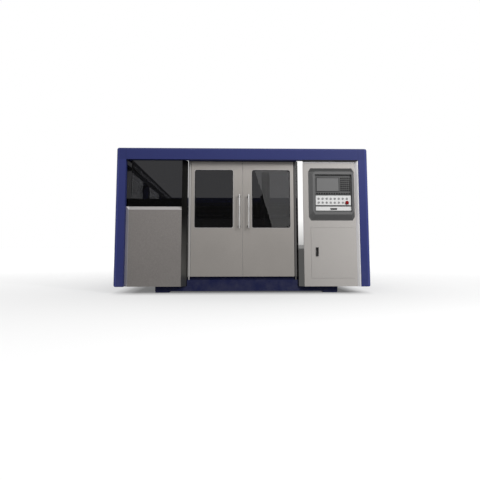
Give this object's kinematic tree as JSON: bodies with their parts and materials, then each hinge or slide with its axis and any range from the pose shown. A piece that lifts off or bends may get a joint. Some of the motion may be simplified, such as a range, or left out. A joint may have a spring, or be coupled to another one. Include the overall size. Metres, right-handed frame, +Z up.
{
  "type": "fiber laser cutting machine",
  "caption": "Enclosed gantry laser cutter for sheet metal with a blue portal front, two glazed hinged doors, a control cabinet with console, and a slat pallet that runs out at the rear.",
  "frame": {"origin": "floor level, under the middle of the bounding box", "axes": "X to the operator's right, Y from the front doors to the rear, Z up"},
  "size_m": [3.6, 6.2, 2.055],
  "materials": {
    "blue_paint": "semi-gloss dark blue powder coat",
    "grey_paint": "satin warm grey powder coat",
    "light_grey_paint": "satin light warm grey powder coat",
    "dark_grey_paint": "satin dark grey powder coat",
    "gloss_strip": "polished bright metal strip",
    "tinted_glass": "dark tinted safety pane",
    "screen_glass": "matt grey screen",
    "black_plastic": "matt black moulding",
    "white_plastic": "satin white",
    "grey_plastic": "satin grey moulding",
    "red_plastic": "gloss red moulding",
    "bright_steel": "ground bright steel",
    "raw_steel": "raw dark steel",
    "aluminium": "satin aluminium",
    "copper": "turned copper alloy"
  },
  "bodies": {
    "machine_frame": {"bed_frame": "blue_paint", "portal_frame": "blue_paint", "left_front_panel": "grey_paint", "left_window": "tinted_glass", "left_corner_strip": "gloss_strip", "right_corner_strip": "gloss_strip", "control_cabinet": "light_grey_paint", "left_side_wall": "blue_paint", "right_side_wall": "blue_paint", "left_side_window": "tinted_glass", "right_side_window": "tinted_glass", "rear_wall": "blue_paint", "left_gantry_rail": "bright_steel", "right_gantry_rail": "bright_steel", "left_gantry_rack": "raw_steel", "right_gantry_rack": "raw_steel", "console_housing": "dark_grey_paint", "screen": "screen_glass", "keypad": "black_plastic", "key_row": "black_plastic", "button_plate": "white_plastic", "laser_source": "dark_grey_paint"},
    "left_door": {"left_door_leaf": "grey_paint", "left_door_window": "tinted_glass", "left_door_pivot": "bright_steel", "left_door_handle": "aluminium"},
    "right_door": {"right_door_leaf": "grey_paint", "right_door_window": "tinted_glass", "right_door_pivot": "bright_steel", "right_door_handle": "aluminium"},
    "cabinet_door": {"cabinet_door": "light_grey_paint"},
    "cabinet_latch": {"cabinet_latch": "black_plastic"},
    "keyboard_drawer": {"keyboard_drawer": "white_plastic"},
    "gantry": {"crossbeam": "blue_paint", "left_carriage": "dark_grey_paint", "right_carriage": "dark_grey_paint", "lower_beam_rail": "bright_steel", "upper_beam_rail": "bright_steel", "beam_rack": "raw_steel"},
    "head_carriage": {"head_carriage": "aluminium"},
    "cutting_head": {"cutting_head": "dark_grey_paint", "nozzle": "copper"},
    "slat_pallet": {"slat_pallet": "raw_steel"},
    "scrap_drawer": {"scrap_drawer": "dark_grey_paint"},
    "emergency_stop": {"emergency_stop": "red_plastic"},
    "button_1": {"button_1": "grey_plastic"},
    "button_2": {"button_2": "grey_plastic"},
    "button_3": {"button_3": "grey_plastic"},
    "button_4": {"button_4": "grey_plastic"},
    "button_5": {"button_5": "grey_plastic"},
    "button_6": {"button_6": "grey_plastic"},
    "button_7": {"button_7": "grey_plastic"},
    "button_8": {"button_8": "grey_plastic"},
    "button_9": {"button_9": "grey_plastic"},
    "button_10": {"button_10": "grey_plastic"},
    "button_11": {"button_11": "grey_plastic"},
    "button_12": {"button_12": "grey_plastic"},
    "button_13": {"button_13": "grey_plastic"},
    "button_14": {"button_14": "grey_plastic"},
    "button_15": {"button_15": "grey_plastic"}
  },
  "joints": [
    {"name": "left_door_hinge", "type": "hinge", "parent": "machine_frame", "child": "left_door", "pos_m": [-0.764, -2.94, 0.223], "axis": [0, 0, -1], "range_deg": [0, 105]},
    {"name": "right_door_hinge", "type": "hinge", "parent": "machine_frame", "child": "right_door", "pos_m": [0.764, -2.94, 0.223], "axis": [0, 0, 1], "range_deg": [0, 105]},
    {"name": "cabinet_door_hinge", "type": "hinge", "parent": "machine_frame", "child": "cabinet_door", "pos_m": [1.588, -3.052, 0.204], "axis": [0, 0, 1], "range_deg": [0, 110]},
    {"name": "cabinet_latch_turn", "type": "hinge", "parent": "cabinet_door", "child": "cabinet_latch", "pos_m": [1.059, -3.0523, 0.62], "axis": [0, -1, 0], "range_deg": [0, 90]},
    {"name": "keyboard_drawer_slide", "type": "slide", "parent": "machine_frame", "child": "keyboard_drawer", "axis": [0, -1, 0], "range_m": [0, 0.17]},
    {"name": "gantry_travel", "type": "slide", "parent": "machine_frame", "child": "gantry", "axis": [0, 1, 0], "range_m": [-0.25, 4.5]},
    {"name": "head_travel", "type": "slide", "parent": "gantry", "child": "head_carriage", "axis": [1, 0, 0], "range_m": [-1.2, 0.55]},
    {"name": "head_lift", "type": "slide", "parent": "head_carriage", "child": "cutting_head", "axis": [0, 0, -1], "range_m": [0, 0.06]},
    {"name": "pallet_travel", "type": "slide", "parent": "machine_frame", "child": "slat_pallet", "axis": [0, 1, 0], "range_m": [0, 5]},
    {"name": "scrap_drawer_slide", "type": "slide", "parent": "machine_frame", "child": "scrap_drawer", "axis": [0, 1, 0], "range_m": [0, 4]},
    {"name": "emergency_stop_press", "type": "slide", "parent": "machine_frame", "child": "emergency_stop", "axis": [0, 1, 0], "range_m": [0, 0.006], "stiffness_N_per_m": 800, "springref_m": -0.004},
    {"name": "button_1_press", "type": "slide", "parent": "machine_frame", "child": "button_1", "axis": [0, 1, 0], "range_m": [0, 0.004], "stiffness_N_per_m": 500, "springref_m": -0.004},
    {"name": "button_2_press", "type": "slide", "parent": "machine_frame", "child": "button_2", "axis": [0, 1, 0], "range_m": [0, 0.004], "stiffness_N_per_m": 500, "springref_m": -0.004},
    {"name": "button_3_press", "type": "slide", "parent": "machine_frame", "child": "button_3", "axis": [0, 1, 0], "range_m": [0, 0.004], "stiffness_N_per_m": 500, "springref_m": -0.004},
    {"name": "button_4_press", "type": "slide", "parent": "machine_frame", "child": "button_4", "axis": [0, 1, 0], "range_m": [0, 0.004], "stiffness_N_per_m": 500, "springref_m": -0.004},
    {"name": "button_5_press", "type": "slide", "parent": "machine_frame", "child": "button_5", "axis": [0, 1, 0], "range_m": [0, 0.004], "stiffness_N_per_m": 500, "springref_m": -0.004},
    {"name": "button_6_press", "type": "slide", "parent": "machine_frame", "child": "button_6", "axis": [0, 1, 0], "range_m": [0, 0.004], "stiffness_N_per_m": 500, "springref_m": -0.004},
    {"name": "button_7_press", "type": "slide", "parent": "machine_frame", "child": "button_7", "axis": [0, 1, 0], "range_m": [0, 0.004], "stiffness_N_per_m": 500, "springref_m": -0.004},
    {"name": "button_8_press", "type": "slide", "parent": "machine_frame", "child": "button_8", "axis": [0, 1, 0], "range_m": [0, 0.004], "stiffness_N_per_m": 500, "springref_m": -0.004},
    {"name": "button_9_press", "type": "slide", "parent": "machine_frame", "child": "button_9", "axis": [0, 1, 0], "range_m": [0, 0.004], "stiffness_N_per_m": 500, "springref_m": -0.004},
    {"name": "button_10_press", "type": "slide", "parent": "machine_frame", "child": "button_10", "axis": [0, 1, 0], "range_m": [0, 0.004], "stiffness_N_per_m": 500, "springref_m": -0.004},
    {"name": "button_11_press", "type": "slide", "parent": "machine_frame", "child": "button_11", "axis": [0, 1, 0], "range_m": [0, 0.004], "stiffness_N_per_m": 500, "springref_m": -0.004},
    {"name": "button_12_press", "type": "slide", "parent": "machine_frame", "child": "button_12", "axis": [0, 1, 0], "range_m": [0, 0.004], "stiffness_N_per_m": 500, "springref_m": -0.004},
    {"name": "button_13_press", "type": "slide", "parent": "machine_frame", "child": "button_13", "axis": [0, 1, 0], "range_m": [0, 0.004], "stiffness_N_per_m": 500, "springref_m": -0.004},
    {"name": "button_14_press", "type": "slide", "parent": "machine_frame", "child": "button_14", "axis": [0, 1, 0], "range_m": [0, 0.004], "stiffness_N_per_m": 500, "springref_m": -0.004},
    {"name": "button_15_press", "type": "slide", "parent": "machine_frame", "child": "button_15", "axis": [0, 1, 0], "range_m": [0, 0.004], "stiffness_N_per_m": 500, "springref_m": -0.004}
  ]
}
